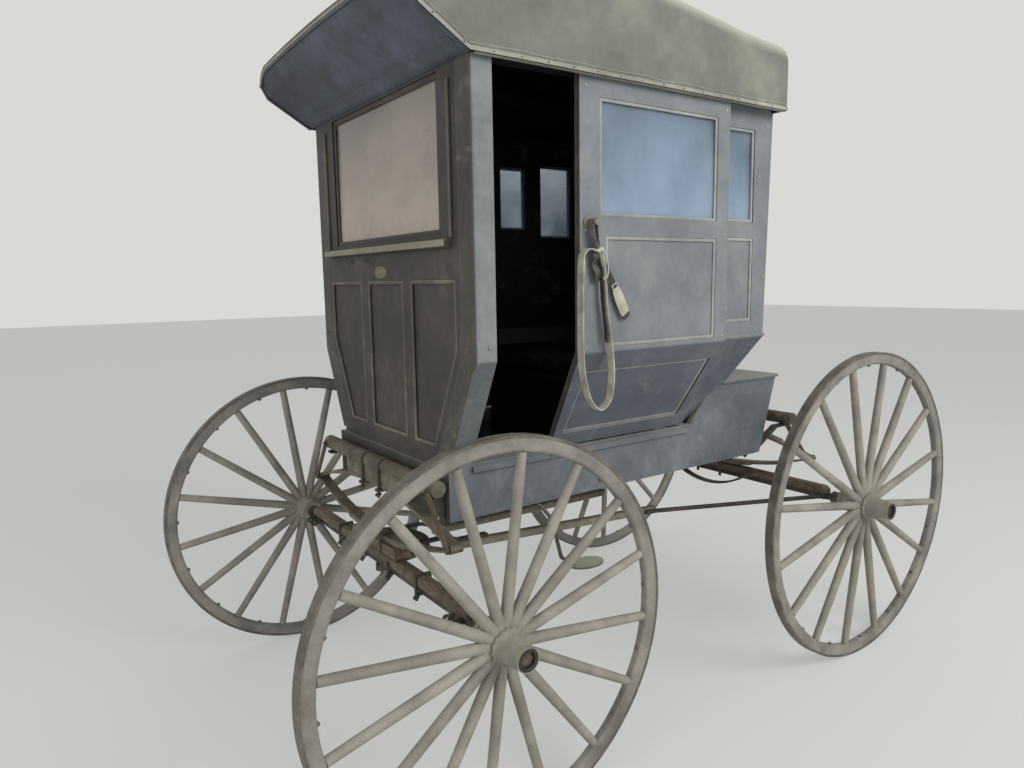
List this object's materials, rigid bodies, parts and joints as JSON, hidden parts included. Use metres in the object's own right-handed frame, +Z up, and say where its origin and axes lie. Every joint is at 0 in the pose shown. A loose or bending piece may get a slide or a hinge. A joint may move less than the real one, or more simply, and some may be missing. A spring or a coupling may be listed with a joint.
{
  "type": "enclosed doctor's buggy",
  "caption": "Horse-drawn enclosed doctor's buggy on tall spoked wheels, with a glazed front, sliding side doors, elliptic springs, a turning fore carriage and a rear boot.",
  "frame": {"origin": "on the ground, midway between the foremost and the rearmost point of the wheels and midway between the wheels", "axes": "+X forward, +Y to the vehicle's left, +Z up"},
  "size_m": [2.7294, 1.632, 2.3241],
  "materials": {
    "tyre_steel": "worn, dusty iron",
    "wheel_wood": "weathered, faded paint on wood",
    "dark_iron": "dusty dark paint on iron",
    "gear_wood": "dark weathered wood",
    "painted_board": "faded dark paint on boards",
    "bare_wood": "old bare wood",
    "window_glass": "clear, slightly dusty",
    "dark_leather": "dark worn leather",
    "roof_canvas": "painted canvas over bows"
  },
  "bodies": {
    "buggy_body": {"body_irons": "dark_iron", "boot_hinge_strip": "painted_board", "cant_rails": "bare_wood", "door_tracks": "painted_board", "end_boards": "painted_board", "fifth_wheel_upper": "dark_iron", "fixed_glass": "window_glass", "floor_boards": "bare_wood", "front_panel": "painted_board", "front_posts": "painted_board", "headblock": "gear_wood", "kingpin": "dark_iron", "left_quarter_panel": "painted_board", "lower_spring_leaves": "dark_iron", "reach_irons_and_stays": "dark_iron", "reaches": "gear_wood", "rear_axle_bed": "gear_wood", "rear_axle_iron": "dark_iron", "rear_panel": "painted_board", "right_quarter_panel": "painted_board", "roof_canopy": "roof_canvas", "seat_back": "dark_leather", "seat_cushion": "dark_leather", "seat_riser": "bare_wood", "side_steps": "dark_iron", "sill_boards": "painted_board", "spring_bars": "gear_wood", "spring_check_links": "dark_iron", "spring_clips": "dark_iron", "upper_spring_leaves": "dark_iron", "visor_lining": "painted_board"},
    "fore_carriage": {"front_axle_iron": "dark_iron", "front_axle_bed": "gear_wood", "front_axle_clips": "dark_iron", "fifth_wheel_lower": "dark_iron", "shaft_couplings": "dark_iron"},
    "left_door": {"left_door": "painted_board", "left_door_glass": "window_glass", "left_door_hook": "dark_iron", "left_door_strap": "dark_leather"},
    "right_door": {"right_door": "painted_board", "right_door_glass": "window_glass"},
    "boot_lid": {"boot_lid": "painted_board"},
    "front_left_wheel": {"front_left_wheel_felloe": "wheel_wood", "front_left_wheel_nave_and_spokes": "wheel_wood", "front_left_wheel_nave_bands": "dark_iron", "front_left_wheel_tyre": "tyre_steel"},
    "front_right_wheel": {"front_right_wheel_felloe": "wheel_wood", "front_right_wheel_nave_and_spokes": "wheel_wood", "front_right_wheel_nave_bands": "dark_iron", "front_right_wheel_tyre": "tyre_steel"},
    "rear_left_wheel": {"rear_left_wheel_felloe": "wheel_wood", "rear_left_wheel_nave_and_spokes": "wheel_wood", "rear_left_wheel_nave_bands": "dark_iron", "rear_left_wheel_tyre": "tyre_steel"},
    "rear_right_wheel": {"rear_right_wheel_felloe": "wheel_wood", "rear_right_wheel_nave_and_spokes": "wheel_wood", "rear_right_wheel_nave_bands": "dark_iron", "rear_right_wheel_tyre": "tyre_steel"}
  },
  "joints": [
    {"name": "fore_carriage_steer", "type": "hinge", "parent": "buggy_body", "child": "fore_carriage", "pos_m": [0.83675, 0, 0.57], "axis": [0, 0, 1], "range_deg": [-24, 24]},
    {"name": "front_left_wheel_spin", "type": "hinge", "parent": "fore_carriage", "child": "front_left_wheel", "pos_m": [0.83675, 0.712, 0.528], "axis": [0, 1, 0], "continuous": true},
    {"name": "front_right_wheel_spin", "type": "hinge", "parent": "fore_carriage", "child": "front_right_wheel", "pos_m": [0.83675, -0.712, 0.528], "axis": [0, 1, 0], "continuous": true},
    {"name": "rear_left_wheel_spin", "type": "hinge", "parent": "buggy_body", "child": "rear_left_wheel", "pos_m": [-0.79325, 0.712, 0.5715], "axis": [0, 1, 0], "continuous": true},
    {"name": "rear_right_wheel_spin", "type": "hinge", "parent": "buggy_body", "child": "rear_right_wheel", "pos_m": [-0.79325, -0.712, 0.5715], "axis": [0, 1, 0], "continuous": true},
    {"name": "left_door_slide", "type": "slide", "parent": "buggy_body", "child": "left_door", "axis": [1, 0, 0], "range_m": [0, 0.282]},
    {"name": "right_door_slide", "type": "slide", "parent": "buggy_body", "child": "right_door", "axis": [-1, 0, 0], "range_m": [0, 0.282]},
    {"name": "boot_lid_hinge", "type": "hinge", "parent": "buggy_body", "child": "boot_lid", "pos_m": [-0.35925, 0, 1.0483], "axis": [0, 1, 0], "range_deg": [0, 60]}
  ]
}
